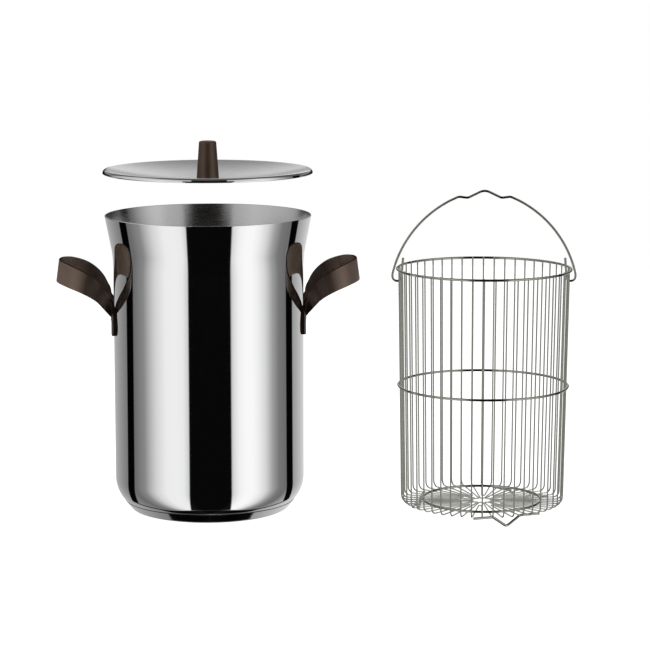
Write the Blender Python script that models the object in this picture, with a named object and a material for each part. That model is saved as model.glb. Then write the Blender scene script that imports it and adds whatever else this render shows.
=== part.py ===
"""Tall asparagus pot with a saucer-shaped lid, and the wire basket that stands beside it.

Metres, +Z up. The origin is the centre of the pot's base, on the floor. +X runs from the pot
to the basket, and -Y is the front. The lid floats above the mouth, as if just lifted off.
"""

import math

import bmesh
import bpy
from mathutils import Matrix, Vector

MM = 0.001
GAP = 0.3 * MM              # left between pieces that touch
TURN_STEPS = 48             # facets round a turned piece

# Pot shell: a drawn steel tube with a rounded floor corner and a flared mouth
POT_INNER_R = 80 * MM
POT_WALL = 1.0 * MM
POT_HEIGHT = 253.0 * MM
MOUTH_R = 87.9 * MM         # outside, at the very top
FLARE_HEIGHT = 35.8 * MM
CORNER_R = 28.5 * MM        # outside radius between the wall and the floor
CORNER_SWEEP = 42.8         # degrees of that arc that show above the base
POT_R = POT_INNER_R + POT_WALL

# Heat-spreading base: an aluminium disc in a thin steel cap
BASE_HEIGHT = 8.0 * MM
BASE_FLAT_R = 65.6 * MM
BASE_FOOT_R = 3.2 * MM      # of the rounding between the flat and the sloping side
CAP_SHEET = 0.8 * MM
SHELL_FLOOR_Z = BASE_HEIGHT + GAP
BASE_R = POT_R - CORNER_R * (1 - math.cos(math.radians(CORNER_SWEEP)))

# Lid: a shallow saucer whose rim is turned down over the pot's rim
LID_SHEET = 0.8 * MM
LID_CLEARANCE = 0.4 * MM    # between the pot's mouth and the turned-down rim
LID_RIM_R = 3.0 * MM        # outside radius of the rim's bend
LID_RIM_HEIGHT = 3.6 * MM
LID_DEPTH = 9.2 * MM
LID_BOWL = 2.3              # power of the bowl's curve: 2 is a parabola, more is flatter in the middle
LID_LIFT = 37 * MM          # how far the lid floats above its seat
LID_R = MOUTH_R + LID_CLEARANCE + LID_SHEET
LID_BOWL_R = LID_R - LID_RIM_R
LID_SLOPE = math.atan(LID_DEPTH * LID_BOWL / LID_BOWL_R)   # of the bowl where the rim's bend starts

# Knob: a tapered handle that screws on a stud welded to the lid
KNOB_HEIGHT = 32.5 * MM
KNOB_FOOT_R = 9.5 * MM
KNOB_TOP_R = 7.4 * MM
KNOB_EDGE_R = 1.6 * MM
KNOB_BORE_R = 2.8 * MM
KNOB_BORE_DEPTH = 15 * MM

# Handles: one strap each, its two ends flat on the wall and its middle a loop
POT_TURN = 3.2              # degrees that the pot, and so its handles, stand turned
STRAP_WIDTH = 18.5 * MM
STRAP_THICKNESS = 2.2 * MM
STRAP_FOOT_Z = 151.1 * MM
STRAP_END_R = 6 * MM        # corner radius of the strap's two ends
STRAP_PARTING = 1.2 * MM    # between the two ends
STRAP_PAD = 10.5 * MM       # height of the part that lies flat on the wall
STRAP_REACH = 46.1 * MM     # lower edge of the loop's outer end, from the wall
STRAP_SPREAD = 32.2 * MM    # half of the loop's greatest width
STRAP_RISE = 46 * MM        # lower edge of the loop's outer end, above the strap's foot
STRAP_LEAN = 2.6 * MM       # how much nearer the pot the loop's upper edge is
STRAP_CROWN = 0.3 * MM      # how far the strap's middle stands out where it leaves the wall
STRAP_STEPS = 3             # strips of the mesh between two stations
# Stations of the lower edge as shares of reach, spread and rise, and the strap's turn from level
STRAP_STATIONS = (
    (0.022, 0.040, 0.315, 38),
    (0.110, 0.240, 0.405, 55),
    (0.190, 0.555, 0.535, 65),
    (0.310, 0.830, 0.695, 74),
    (0.515, 1.000, 0.850, 80),
    (0.770, 0.885, 0.955, 85),
    (0.945, 0.485, 0.995, 88),
    (1.000, 0.000, 1.000, 90),
)

# Wire basket: rings outside the upright wires, which turn in along the floor
BASKET_X = 233.3 * MM
BASKET_Y = -27.9 * MM
RING_WIRE_R = 1.05 * MM
TOP_RING_R = 73.35 * MM     # to the middle of its wire
TOP_RING_Z = 210.2 * MM
MIDDLE_RING_Z = 110.9 * MM
FLOOR_RING_INSET = 18.5 * MM   # of the floor ring, from the uprights at the floor
UPRIGHT_WIRE_R = 0.62 * MM
WALL_TAPER = 3.2 * MM       # how much narrower the circle of uprights is at the floor
UPRIGHT_BEND_R = 5.0 * MM
GROUPS = 12                 # each of two nested wires
UPRIGHTS = 4 * GROUPS
GROUP_PHASE = 83            # degrees, of the first group's middle
LONG_VERTEX_R = 8 * MM      # where a wire turns back, from the basket's axis
SHORT_VERTEX_R = 19.5 * MM
UPRIGHT_TOP_R = TOP_RING_R - (RING_WIRE_R + GAP + UPRIGHT_WIRE_R)
UPRIGHT_FOOT_R = UPRIGHT_TOP_R - WALL_TAPER

# Feet: thick wires under the floor, each with a V bent down
FEET = 3
FOOT_WIRE_R = 1.15 * MM
FOOT_INSET = 14.0 * MM      # of a foot's straight part, from the uprights at the floor
FOOT_HALF_LENGTH = 29.6 * MM
FOOT_DROP = 7.85 * MM       # from the straight part down to the V's tip
FOOT_SLOPE = 35             # degrees, of the V's two legs
FOOT_BEND_R = 3.5 * MM
FOOT_PHASE = -71.2          # degrees, of the first foot

# Bail: hooked over the top ring at both sides
BAIL_WIRE_R = 1.05 * MM
ARCH_PAST_AXIS = 14 * MM    # how far past the axis the centre of each side's arc lies
ARCH_FOOT_ANGLE = 12.9      # degrees above level, where that arc ends at the hook's leg
HOOK_R = 3.7 * MM
HOOK_DROP = 6.5 * MM        # from the ring down to the middle of the hook's bend
STUB_RISE = 9.3 * MM        # of the hook's free end above the ring
STUB_LEAN = 1.2 * MM
GRIP_BUMP_X = 21.7 * MM
GRIP_DIP_X = 14.1 * MM
GRIP_DIP = 1.0 * MM         # below the bump
GRIP_APEX = 5.8 * MM        # above the bump
GRIP_BEND_R = 5.5 * MM
GRIP_APEX_BEND_R = 9 * MM


def clear_scene():
    for old in list(bpy.data.objects):
        bpy.data.objects.remove(old, do_unlink=True)


def finish(name, red, green, blue, roughness, metallic=1.0):
    """A plain Principled material for one kind of surface."""
    material = bpy.data.materials.new(name)
    material.use_nodes = True
    shader = material.node_tree.nodes["Principled BSDF"]
    shader.inputs["Base Color"].default_value = (red, green, blue, 1)
    shader.inputs["Roughness"].default_value = roughness
    shader.inputs["Metallic"].default_value = metallic
    return material


def add(name, data, material, parent=None, turn=0.0):
    """An object in the scene, turned about its parent's Z axis by some degrees."""
    piece = bpy.data.objects.new(name, data)
    bpy.context.scene.collection.objects.link(piece)
    if not data.materials:
        data.materials.append(material)
    piece.parent = parent
    piece.rotation_euler.z = math.radians(turn)
    return piece


def axis_empty(name, place, parent=None):
    """An empty that carries pieces which stand or move together."""
    empty = bpy.data.objects.new(name, None)
    bpy.context.scene.collection.objects.link(empty)
    empty.location = place
    empty.parent = parent
    return empty


def arc(centre, radius, start, end, steps):
    """Points (x, z) along an arc, from one angle to the other in degrees from +X."""
    angles = [math.radians(start + (end - start) * step / steps) for step in range(steps + 1)]
    return [
        (centre[0] + radius * math.cos(angle), centre[1] + radius * math.sin(angle))
        for angle in angles
    ]


def turned(name, profile):
    """A solid turned about Z from points (radius, height) that start and end on the axis."""
    shape = bmesh.new()
    verts = [shape.verts.new((radius, 0, height)) for radius, height in profile]
    edges = [shape.edges.new(pair) for pair in zip(verts, verts[1:])]
    bmesh.ops.spin(
        shape,
        geom=verts + edges,
        cent=(0, 0, 0),
        axis=(0, 0, 1),
        angle=math.tau,
        steps=TURN_STEPS,
        use_merge=True,
    )
    bmesh.ops.remove_doubles(shape, verts=shape.verts, dist=0.001 * MM)
    bmesh.ops.recalc_face_normals(shape, faces=shape.faces)
    mesh = bpy.data.meshes.new(name)
    shape.to_mesh(mesh)
    shape.free()
    mesh.shade_smooth()
    mesh.set_sharp_from_angle(angle=math.radians(30))
    return mesh


def rounded(corners, radii, steps):
    """A path through the corners, with an arc of its own radius at each inner one."""
    path = [corners[0]]
    for before, corner, after, radius in zip(corners, corners[1:], corners[2:], radii):
        to_before = (before - corner).normalized()
        to_after = (after - corner).normalized()
        half = to_before.angle(to_after) / 2
        centre = corner + (to_before + to_after).normalized() * radius / math.sin(half)
        start = corner + to_before * radius / math.tan(half) - centre
        sweep = math.pi - 2 * half
        axis = to_after.cross(to_before)
        for step in range(steps + 1):
            path.append(centre + Matrix.Rotation(sweep * step / steps, 3, axis) @ start)
    return path + [corners[-1]]


def smooth(points, steps):
    """A Catmull-Rom curve through the points, with the same few steps in each span."""
    padded = [2 * points[0] - points[1], *points, 2 * points[-1] - points[-2]]
    curve = []
    for a, b, c, d in zip(padded, padded[1:], padded[2:], padded[3:]):
        for step in range(steps):
            t = step / steps
            curve.append(
                (2 * b + (c - a) * t + (2 * a - 5 * b + 4 * c - d) * t**2
                 + (3 * b - a - 3 * c + d) * t**3) / 2
            )
    return curve + [points[-1]]


def wire(name, path, radius, sides, closed=False):
    """Round wire along a path of points."""
    curve = bpy.data.curves.new(name, "CURVE")
    curve.dimensions = "3D"
    spline = curve.splines.new("POLY")
    spline.points.add(len(path) - 1)
    for spot, point in zip(spline.points, path):
        spot.co = (*point, 1)
    spline.use_cyclic_u = closed
    curve.bevel_depth = radius
    curve.bevel_resolution = sides // 2 - 2
    curve.use_fill_caps = not closed
    return curve


# Pot

def shell_mesh():
    corner_x = POT_R - CORNER_R
    corner_z = SHELL_FLOOR_Z + CORNER_R * math.sin(math.radians(CORNER_SWEEP))
    inner_floor_z = SHELL_FLOOR_Z + POT_WALL
    inner_r = CORNER_R - POT_WALL
    inner_sweep = math.degrees(math.asin((corner_z - inner_floor_z) / inner_r))
    kink_z = POT_HEIGHT - FLARE_HEIGHT
    outside = arc((corner_x, corner_z), CORNER_R, -CORNER_SWEEP, 0, 6)
    inside = arc((corner_x, corner_z), inner_r, 0, -inner_sweep, 6)
    profile = [(0, SHELL_FLOOR_Z), *outside, (POT_R, kink_z), (MOUTH_R, POT_HEIGHT)]
    profile += [(MOUTH_R - POT_WALL, POT_HEIGHT), (POT_INNER_R, kink_z), *inside]
    return turned("pot_shell", [*profile, (0, inner_floor_z)])


def base_edge(inset):
    """The base's rounded foot and the sloping side above it, moved in by inset all along."""
    width = BASE_R - BASE_FLAT_R
    rise = BASE_HEIGHT - BASE_FOOT_R
    slope = math.atan2(rise, width) + math.asin(BASE_FOOT_R / math.hypot(rise, width))
    foot = arc((BASE_FLAT_R, BASE_FOOT_R), BASE_FOOT_R - inset, -90, math.degrees(slope) - 90, 4)
    return [*foot, (BASE_R - inset / math.sin(slope), BASE_HEIGHT)]


def base_cap_mesh():
    inside = base_edge(CAP_SHEET)
    return turned("base_cap", [(0, 0), *base_edge(0), *reversed(inside), (0, CAP_SHEET)])


def base_core_mesh():
    edge = base_edge(CAP_SHEET + GAP)
    return turned("base_core_disc", [(0, CAP_SHEET + GAP), *edge, (0, BASE_HEIGHT)])


# Lid

def lid_bowl(radius):
    """Height of the bowl's upper face against the top of the rim."""
    bend_start = LID_BOWL_R - LID_RIM_R * math.sin(LID_SLOPE)
    share = (radius / LID_BOWL_R) ** LID_BOWL - (bend_start / LID_BOWL_R) ** LID_BOWL
    return LID_DEPTH * share - LID_RIM_R * (1 - math.cos(LID_SLOPE))


def lid_seat_drop():
    """How far below the rim's top the inside of its bend meets the pot's mouth."""
    inner_r = LID_RIM_R - LID_SHEET
    return LID_RIM_R - math.sqrt(inner_r**2 - (inner_r - LID_CLEARANCE) ** 2)


def lid_mesh(rim_z):
    bend = (LID_BOWL_R, rim_z - LID_RIM_R)
    bend_angle = 90 + math.degrees(LID_SLOPE)
    over = arc(bend, LID_RIM_R, bend_angle, 0, 6)
    under = arc(bend, LID_RIM_R - LID_SHEET, bend_angle, 0, 6)
    rings = [over[0][0] * step / 8 for step in range(8)]
    top = [(radius, rim_z + lid_bowl(radius)) for radius in rings]
    underside = [(radius, height - LID_SHEET) for radius, height in top]
    rim_foot = rim_z - LID_RIM_HEIGHT
    lip = [(LID_R - LID_SHEET, rim_foot), (LID_R, rim_foot)]
    return turned("lid_dish", [*underside, *under, *lip, *reversed(over), *reversed(top)])


def knob_mesh(foot_z):
    top_z = foot_z + KNOB_HEIGHT
    bore_z = foot_z + KNOB_BORE_DEPTH
    edge = arc((KNOB_TOP_R - KNOB_EDGE_R, top_z - KNOB_EDGE_R), KNOB_EDGE_R, 0, 70, 4)
    profile = [(0, bore_z), (KNOB_BORE_R, bore_z), (KNOB_BORE_R, foot_z)]
    return turned("lid_knob", [*profile, (KNOB_FOOT_R, foot_z), *edge, (0, top_z)])


def stud_mesh(bowl_z, foot_z):
    low = bowl_z + GAP
    high = foot_z + KNOB_BORE_DEPTH - GAP
    radius = KNOB_BORE_R - GAP
    return turned("knob_stud", [(0, low), (radius, low), (radius, high), (0, high)])


# Handles

def strap_row(low, direction, bulge):
    """The strap's inner face at one station: lower edge, middle and upper edge."""
    high = low + direction * STRAP_WIDTH
    return [low, (low + high) / 2 + Vector((bulge, 0, 0)), high]


def pad_row(height, inset):
    """The strap's inner face where it lies round the wall, narrowed near a rounded end."""
    row = []
    for share in (0, 0.5, 1):
        across = STRAP_PARTING / 2 + inset + (STRAP_WIDTH - 2 * inset) * share
        angle = across / (POT_R + GAP)
        row.append(Vector((math.cos(angle), math.sin(angle), 0)) * (POT_R + GAP))
        row[-1].z = STRAP_FOOT_Z + height
    return row


def strap_rows():
    """Rows of the inner face, from one foot over the loop to the other, for a handle at +X."""
    end = []
    for step in range(4):
        angle = math.radians(30 * step)
        end.append(pad_row(STRAP_END_R * (1 - math.cos(angle)), STRAP_END_R * (1 - math.sin(angle))))
    half = [pad_row((STRAP_END_R + STRAP_PAD) / 2, 0), pad_row(STRAP_PAD, 0)]
    for number, (out, across, up, turn) in enumerate(STRAP_STATIONS):
        low = Vector((
            POT_R + GAP + out * STRAP_REACH,
            across * STRAP_SPREAD + STRAP_PARTING / 2 * (1 - out),
            STRAP_FOOT_Z + up * STRAP_RISE,
        ))
        turn = math.radians(turn)
        lean = -STRAP_LEAN / STRAP_WIDTH
        direction = Vector((lean, math.cos(turn), math.sin(turn))).normalized()
        half.append(strap_row(low, direction, STRAP_CROWN / (1 + number)))
    mirror = Matrix.Diagonal((1, -1, 1))
    loop = half + [[mirror @ point for point in row] for row in reversed(half[:-1])]
    tracks = [smooth([row[track] for row in loop], STRAP_STEPS) for track in range(3)]
    far_end = [[mirror @ point for point in row] for row in reversed(end)]
    return end + [list(row) for row in zip(*tracks)] + far_end


def handle_mesh():
    shape = bmesh.new()
    rows = [[shape.verts.new(point) for point in row] for row in strap_rows()]
    for row, following in zip(rows, rows[1:]):
        for track in range(2):
            shape.faces.new((row[track], row[track + 1], following[track + 1], following[track]))
    bmesh.ops.recalc_face_normals(shape, faces=shape.faces)
    foot_face = min(shape.faces, key=lambda face: face.calc_center_median().z)
    if foot_face.normal.x < 0:
        bmesh.ops.reverse_faces(shape, faces=shape.faces)
    mesh = bpy.data.meshes.new("handle_strap")
    shape.to_mesh(mesh)
    shape.free()
    mesh.shade_smooth()
    return mesh


def add_handle(name, mesh, material, parent, turn):
    handle = add(name, mesh, material, parent, turn)
    sheet = handle.modifiers.new("Sheet", "SOLIDIFY")
    sheet.thickness = STRAP_THICKNESS
    sheet.offset = 1
    sheet.use_even_offset = True


# Basket

def ring_path(radius, height):
    """A polygon with a corner beside each upright."""
    first = math.radians(GROUP_PHASE + 180 / UPRIGHTS)
    angles = [first + math.tau * step / UPRIGHTS for step in range(UPRIGHTS)]
    return [Vector((radius * math.cos(a), radius * math.sin(a), height)) for a in angles]


def upright_path(half_angle, vertex_r, top_z, floor_z):
    """One wire: down the wall, along the floor, back at its vertex and up again."""
    sides = []
    for angle in (-half_angle, half_angle):
        out = Vector((math.cos(angle), math.sin(angle), 0))
        top = out * UPRIGHT_TOP_R + Vector((0, 0, top_z))
        sides.append((top, out * UPRIGHT_FOOT_R + Vector((0, 0, floor_z))))
    vertex_bend = vertex_r * math.sin(half_angle) / (1 - math.sin(half_angle))
    corners = [*sides[0], Vector((0, 0, floor_z)), *reversed(sides[1])]
    return rounded(corners, (UPRIGHT_BEND_R, vertex_bend, UPRIGHT_BEND_R), 4)


def foot_path(chord_z):
    """A straight wire with a V in its middle, whose tip just reaches the floor."""
    slope = math.radians(FOOT_SLOPE)
    tip_z = chord_z - FOOT_DROP - FOOT_BEND_R * (1 / math.cos(slope) - 1)
    half_v = (chord_z - tip_z) / math.tan(slope)
    corners = [
        (-FOOT_HALF_LENGTH, chord_z),
        (-half_v, chord_z),
        (0, tip_z),
        (half_v, chord_z),
        (FOOT_HALF_LENGTH, chord_z),
    ]
    corners = [Vector((UPRIGHT_FOOT_R - FOOT_INSET, across, height)) for across, height in corners]
    return rounded(corners, (FOOT_BEND_R,) * 3, 4)


def bail_path():
    """The bail in the X-Z plane, from one free end to the other."""
    hook_z = TOP_RING_Z - HOOK_DROP
    leg_x = TOP_RING_R + HOOK_R
    arch_r = (leg_x + ARCH_PAST_AXIS) / math.cos(math.radians(ARCH_FOOT_ANGLE))
    arch_z = hook_z - arch_r * math.sin(math.radians(ARCH_FOOT_ANGLE)) + HOOK_R / 2
    bump_angle = math.degrees(math.acos((GRIP_BUMP_X + ARCH_PAST_AXIS) / arch_r))
    side = arc((-ARCH_PAST_AXIS, arch_z), arch_r, bump_angle, ARCH_FOOT_ANGLE, 12)
    bump_z = side[0][1]
    grip = [
        Vector((0, 0, bump_z + GRIP_APEX)),
        Vector((GRIP_DIP_X, 0, bump_z - GRIP_DIP)),
        Vector((GRIP_BUMP_X, 0, bump_z)),
        Vector((side[1][0], 0, side[1][1])),
    ]
    mirror = Matrix.Diagonal((-1, 1, 1))
    left_grip = [mirror @ point for point in reversed(grip[1:])]
    bends = (GRIP_BEND_R, GRIP_BEND_R, GRIP_APEX_BEND_R, GRIP_BEND_R, GRIP_BEND_R)
    middle = rounded(left_grip + grip, bends, 3)
    hook = arc((TOP_RING_R, hook_z), HOOK_R, 0, -180, 6)
    stub = (TOP_RING_R - HOOK_R - STUB_LEAN, TOP_RING_Z + STUB_RISE)
    right = [Vector((x, 0, z)) for x, z in [*side[2:], *hook, stub]]
    return [mirror @ point for point in reversed(right)] + middle + right


def build():
    clear_scene()
    mirror_steel = finish("mirror_polished_steel", 0.75, 0.75, 0.76, 0.06)
    satin_steel = finish("satin_steel", 0.62, 0.62, 0.63, 0.28)
    wire_steel = finish("steel_wire", 0.50, 0.50, 0.46, 0.22)
    brown_coat = finish("brown_coated_steel", 0.10, 0.070, 0.055, 0.38)
    aluminium = finish("aluminium", 0.80, 0.80, 0.81, 0.40)

    pot_axis = axis_empty("pot_axis", (0, 0, 0))
    pot_axis.rotation_euler.z = math.radians(POT_TURN)
    add("pot_shell", shell_mesh(), mirror_steel, pot_axis)
    add("base_core_disc", base_core_mesh(), aluminium, pot_axis)
    add("base_cap", base_cap_mesh(), mirror_steel, pot_axis)
    strap = handle_mesh()
    add_handle("right_handle_strap", strap, brown_coat, pot_axis, 0)
    add_handle("left_handle_strap", strap, brown_coat, pot_axis, 180)

    rim_z = POT_HEIGHT + GAP + lid_seat_drop() + LID_LIFT
    bowl_z = rim_z + lid_bowl(0)
    knob_z = rim_z + lid_bowl(KNOB_FOOT_R) + GAP
    lid_axis = axis_empty("lid_axis", (0, 0, 0))
    add("lid_dish", lid_mesh(rim_z), satin_steel, lid_axis)
    add("lid_knob", knob_mesh(knob_z), brown_coat, lid_axis)
    add("knob_stud", stud_mesh(bowl_z, knob_z), satin_steel, lid_axis)

    basket_axis = axis_empty("basket_axis", (BASKET_X, BASKET_Y, 0))
    chord_z = FOOT_WIRE_R + FOOT_DROP
    floor_z = chord_z + FOOT_WIRE_R + GAP + UPRIGHT_WIRE_R
    top_z = TOP_RING_Z + RING_WIRE_R
    share = (MIDDLE_RING_Z - floor_z) / (top_z - floor_z)
    middle_r = UPRIGHT_FOOT_R + WALL_TAPER * share
    ring_step = UPRIGHT_WIRE_R + GAP + RING_WIRE_R
    rings = (
        ("basket_top_ring", TOP_RING_R, TOP_RING_Z),
        ("basket_middle_ring", middle_r + ring_step, MIDDLE_RING_Z),
        ("basket_floor_ring", UPRIGHT_FOOT_R - FLOOR_RING_INSET, floor_z + ring_step),
    )
    for name, radius, height in rings:
        ring = wire(name, ring_path(radius, height), RING_WIRE_R, 6, closed=True)
        add(name, ring, wire_steel, basket_axis)
    step = math.radians(360 / UPRIGHTS)
    for name, half_angle, vertex_r in (
        ("long", 1.5 * step, LONG_VERTEX_R),
        ("short", 0.5 * step, SHORT_VERTEX_R),
    ):
        path = upright_path(half_angle, vertex_r, top_z, floor_z)
        shared = wire("basket_wire_" + name, path, UPRIGHT_WIRE_R, 6)
        for group in range(GROUPS):
            turn = GROUP_PHASE + 360 * group / GROUPS
            add(f"basket_wire_{name}_{group + 1:02d}", shared, wire_steel, basket_axis, turn)
    foot = wire("basket_foot", foot_path(chord_z), FOOT_WIRE_R, 8)
    for number in range(FEET):
        turn = FOOT_PHASE + 360 * number / FEET
        add(f"basket_foot_{number + 1}", foot, wire_steel, basket_axis, turn)

    bail_hinge = axis_empty("bail_hinge", (0, 0, TOP_RING_Z - HOOK_DROP - HOOK_R), basket_axis)
    path = [point - bail_hinge.location for point in bail_path()]
    add("basket_bail", wire("basket_bail", path, BAIL_WIRE_R, 6), wire_steel, bail_hinge)


build()
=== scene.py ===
import math

import bmesh
import bpy
from mathutils import Matrix, Vector


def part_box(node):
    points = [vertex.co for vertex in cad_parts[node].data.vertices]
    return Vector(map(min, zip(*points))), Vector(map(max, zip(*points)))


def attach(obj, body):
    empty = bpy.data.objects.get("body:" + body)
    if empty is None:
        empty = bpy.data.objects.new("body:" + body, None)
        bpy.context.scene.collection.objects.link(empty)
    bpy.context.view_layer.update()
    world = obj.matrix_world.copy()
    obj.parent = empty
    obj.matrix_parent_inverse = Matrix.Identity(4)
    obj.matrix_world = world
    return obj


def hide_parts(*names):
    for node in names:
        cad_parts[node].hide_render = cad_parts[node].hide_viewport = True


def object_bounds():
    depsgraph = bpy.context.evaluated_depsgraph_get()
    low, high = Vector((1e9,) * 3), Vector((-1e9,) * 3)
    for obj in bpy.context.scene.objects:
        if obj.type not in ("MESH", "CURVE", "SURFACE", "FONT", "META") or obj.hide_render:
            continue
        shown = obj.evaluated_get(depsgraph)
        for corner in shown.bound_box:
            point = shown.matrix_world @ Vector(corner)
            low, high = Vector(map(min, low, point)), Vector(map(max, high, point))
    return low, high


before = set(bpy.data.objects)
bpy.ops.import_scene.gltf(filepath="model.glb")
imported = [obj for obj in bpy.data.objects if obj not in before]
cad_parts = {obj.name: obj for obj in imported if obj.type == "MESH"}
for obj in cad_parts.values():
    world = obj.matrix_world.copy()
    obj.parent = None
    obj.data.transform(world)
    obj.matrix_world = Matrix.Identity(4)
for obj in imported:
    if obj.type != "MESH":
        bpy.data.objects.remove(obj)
cad_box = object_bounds()


# View: a long lens a good two metres in front, a little above the pot and looking slightly down.
CAMERA_PLACE = (0.0994, -2.1145, 0.4897)
CAMERA_DOWN = 8.92          # degrees below level
CAMERA_LENS = 138.46        # millimetres, on a 36 mm sensor

scene = bpy.context.scene
camera = bpy.data.objects.new("camera", bpy.data.cameras.new("camera"))
scene.collection.objects.link(camera)
camera.location = CAMERA_PLACE
camera.rotation_euler.x = math.radians(90 - CAMERA_DOWN)
camera.data.lens = CAMERA_LENS
scene.camera = camera
scene.view_settings.view_transform = "Standard"


# Studio: white panels and black flags stand round the set, and the polished wall shows them as
# upright bands. Behind the set a bright panel leans over a darker shelf, and the zenith is dim.
# Heights are sines of the angle above level. Each panel stop is an azimuth in degrees from the
# front, positive to the right, and the light from there.
PANELS = (
    (-180, 0.62),
    (-165, 0.50),
    (-150, 0.40),
    (-119, 0.22),
    (-100, 0.155),
    (-83, 0.27),
    (-65, 0.71),
    (-51, 0.92),
    (-38, 0.94),
    (-29, 0.90),
    (-23, 0.68),
    (-19, 0.42),
    (28, 0.42),
    (32, 0.76),
    (39, 0.96),
    (47, 1.04),
    (56, 1.04),
    (63, 0.96),
    (74, 0.74),
    (85, 0.38),
    (96, 0.20),
    (109, 0.16),
    (124, 0.33),
    (140, 0.48),
    (165, 0.68),
    (180, 0.62),
)
# The same above the level of the set, where the panels reach further round, and the heights
# between which the one gives way to the other.
PANELS_ABOVE = (
    (-150, 0.10),
    (-136, 0.16),
    (-122, 0.45),
    (-105, 0.58),
    (-54, 0.74),
    (-36, 0.62),
    (38, 0.60),
    (53, 0.64),
    (66, 0.82),
    (77, 0.74),
    (86, 0.60),
    (96, 0.40),
    (107, 0.17),
    (120, 0.10),
)
ABOVE_FROM = (-0.02, 0.06)
# The light behind the set: heights, and the light there.
REAR_HEIGHTS = (
    (-0.06, 0.90),
    (0.02, 0.90),
    (0.05, 0.38),
    (0.14, 0.38),
    (0.19, 1.00),
    (0.34, 0.85),
    (0.50, 0.40),
    (0.80, 0.08),
)
REAR_BOTTOM = (-0.105, -0.095)
REAR_DEPTH = (0.45, 0.75)   # how far back a direction points where the light behind sets in
REAR_HALF_WIDTH = 0.35      # from the middle, where that light is full, to where it has faded
REAR_SIDE_LIGHT = 0.22      # share of it that is left there
# Two dark corners low behind the set: how far to the side and how high, from and to.
CORNER_SIDES = (0.1, 0.8)
CORNER_HEIGHTS = (-0.10, 0.10)
# Black flags, named by the surface that mirrors them to the front of the set: how far that
# surface is turned to the right, from and to, and how far it faces down, from and to, in degrees.
FLAG_MIDDLE = 3.0
FLAGS = (
    (-9.7, 15.9, -3.3, 31),     # wide flag in front
    (-11.2, 17.0, -19, -3.3),   # its upper part
    (-6.4, 13.2, -55, -19),     # its narrower top
    (-57.0, -49.8, -5, 36),     # strip on the left
    (56.7, 64.0, -28, 36),      # strip on the right
)
# The dark floor in front of the set is a crescent under the flags. Each of its edges bends
# between two distances to the side, from one height at the middle to another at the ends, all in
# the same degrees.
FLOOR_TOP = (7, 31, 30.5, 35.2)
FLOOR_BOTTOM = (25, 36, 40.4, 37.3)
FLOOR_REACH = 60            # degrees to each side of the middle
FLAG_BOW = 0.0052           # how the flags' lower ends bow away to both sides
FLAG_BOW_START = 20         # degrees from the middle
FLAG_SOFT = 0.35            # degrees, of each flag's edges
FLAG_LIGHT = 0.006
# Past the dark floor lies a dim part: where it starts, its reach to each side, and its light.
UNDER_FROM = (40.3, 40.9)
UNDER_REACH = (-34, 42)
UNDER_SOFT = 22
UNDER_LIGHT = 0.15
FRONT = (0.046, -0.974, 0.222)  # from the set towards its front, along the middle of the view
ZENITH_FROM = (0.75, 0.92)
ZENITH_LIGHT = 0.10
LAMP_X = 0.1
LAMP_Y = -0.35
LAMP_HEIGHT = 1.5
LAMP_TURN = -13             # degrees, towards the set
LAMP_SIZE = 1.0
LAMP_WATTS = 9
FLOOR_R = 1.6
FLOOR_DROP = 0.0004
FLOOR_GLOW = 0.88


def add_node(tree, kind, inputs=(), **settings):
    """Adds a shader node and returns its output. Each input is a value or another's output."""
    new = tree.nodes.new("ShaderNode" + kind)
    for name, value in settings.items():
        setattr(new, name, value)
    for key, value in dict(inputs).items():
        if isinstance(value, bpy.types.NodeSocket):
            tree.links.new(value, new.inputs[key])
        else:
            new.inputs[key].default_value = value
    return next(output for output in new.outputs if output.enabled)


def grey_stops(tree, factor, stops):
    """A ramp of greys through stops (place from 0 to 1, light)."""
    ramp = tree.nodes.new("ShaderNodeValToRGB")
    tree.links.new(factor, ramp.inputs["Fac"])
    elements = ramp.color_ramp.elements
    for number, (place, light) in enumerate(stops):
        stop = elements[number] if number < 2 else elements.new(1.0)
        stop.position = place
        stop.color = (light, light, light, 1)
    return ramp.outputs["Color"]


def rising(tree, value, ends):
    """0 up to the first of two ends and 1 from the second on, with a smooth step between."""
    steps = {0: value, 1: ends[0], 2: ends[1]}
    return add_node(tree, "MapRange", steps, interpolation_type="SMOOTHSTEP")


def between(tree, value, low, high, soft):
    """1 where the value lies between low and high and 0 outside, with soft edges."""
    above = add_node(tree, "MapRange", {0: value, 1: low - soft, 2: low + soft})
    below = add_node(tree, "MapRange", {0: value, 1: high + soft, 2: high - soft})
    return add_node(tree, "Math", {0: above, 1: below}, operation="MULTIPLY")


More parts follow.
